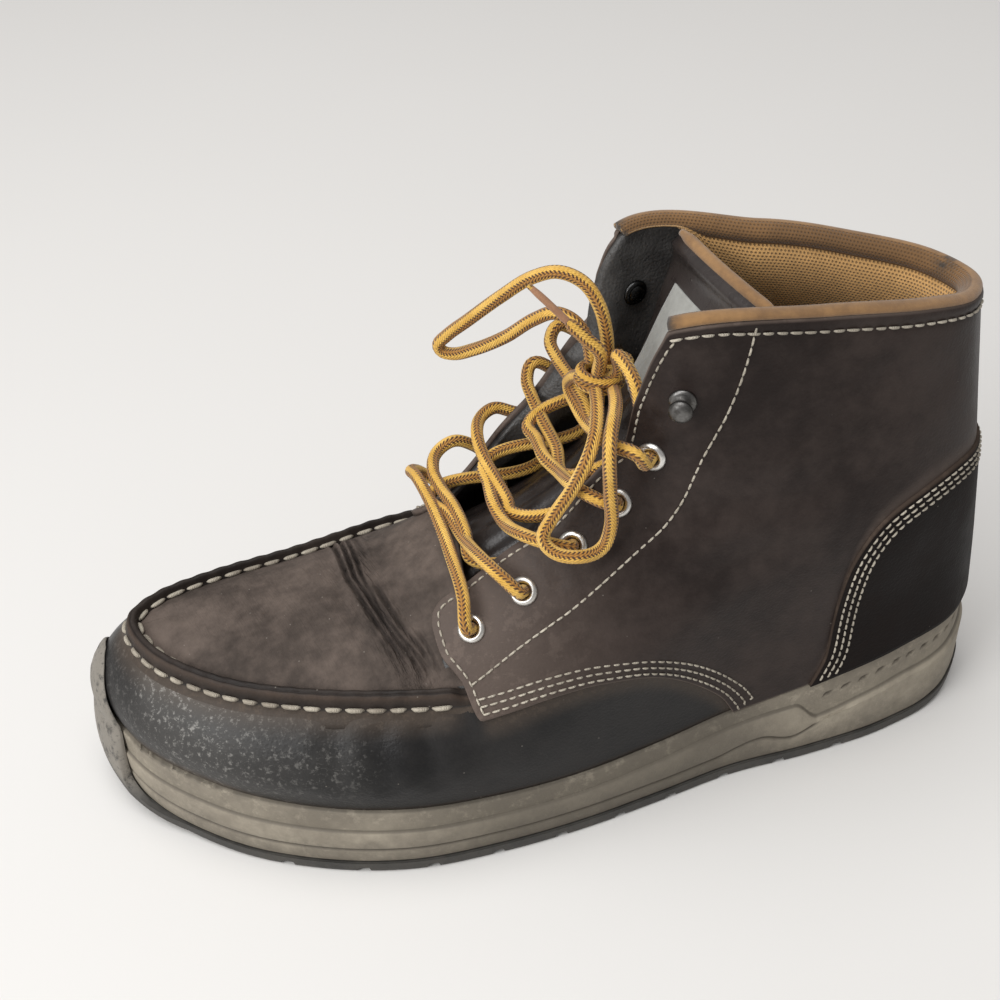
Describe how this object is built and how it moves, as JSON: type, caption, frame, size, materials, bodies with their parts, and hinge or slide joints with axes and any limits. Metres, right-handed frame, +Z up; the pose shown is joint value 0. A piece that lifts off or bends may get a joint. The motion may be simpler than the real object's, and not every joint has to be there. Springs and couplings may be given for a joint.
{
  "type": "moc toe work boot",
  "caption": "Left ankle-high leather work boot with a raised moc toe seam, padded collar, lace eyelets and a flat wedge sole with a rubber toe bumper.",
  "frame": {"origin": "middle of the boot's footprint, on the floor", "axes": "+X to the toe, +Y to the outer (lateral) side, +Z up"},
  "size_m": [0.3159, 0.115, 0.1857],
  "materials": {
    "outsole_rubber": "matte dark rubber",
    "midsole_foam": "matte taupe grey foam rubber with dirt",
    "insole_fabric": "woven footbed cover",
    "upper_leather": "oiled dark brown leather, polished at the toe",
    "seam_leather": "gathered leather with pale stitches",
    "quarter_leather": "oiled dark brown leather",
    "counter_leather": "oiled very dark leather",
    "collar_fabric": "tan padded mesh lining",
    "tongue_leather": "soft dark leather with a tan bound edge",
    "eyelet_metal": "silver, lightly worn",
    "stud_metal": "pewter",
    "lace_cord": "round braid, golden yellow flecked with dark red"
  },
  "bodies": {
    "root": {"outsole": "outsole_rubber", "midsole": "midsole_foam", "insole": "insole_fabric", "upper": "upper_leather", "moc_seam": "seam_leather", "quarter_lateral": "quarter_leather", "quarter_medial": "quarter_leather", "heel_counter": "counter_leather", "collar": "collar_fabric", "tongue": "tongue_leather", "eyelet_lateral_1": "eyelet_metal", "eyelet_lateral_2": "eyelet_metal", "eyelet_lateral_3": "eyelet_metal", "eyelet_lateral_4": "eyelet_metal", "eyelet_lateral_5": "eyelet_metal", "eyelet_medial_1": "eyelet_metal", "eyelet_medial_2": "eyelet_metal", "eyelet_medial_3": "eyelet_metal", "eyelet_medial_4": "eyelet_metal", "eyelet_medial_5": "eyelet_metal", "hook_lateral": "stud_metal", "hook_medial": "stud_metal", "lace_crossing_1": "lace_cord", "lace_crossing_2": "lace_cord", "lace_crossing_3": "lace_cord", "lace_crossing_4": "lace_cord", "lace_knot": "lace_cord", "lace_loop_upper": "lace_cord", "lace_loop_lower": "lace_cord", "lace_end_upper": "lace_cord", "lace_end_near": "lace_cord"}
  },
  "joints": []
}
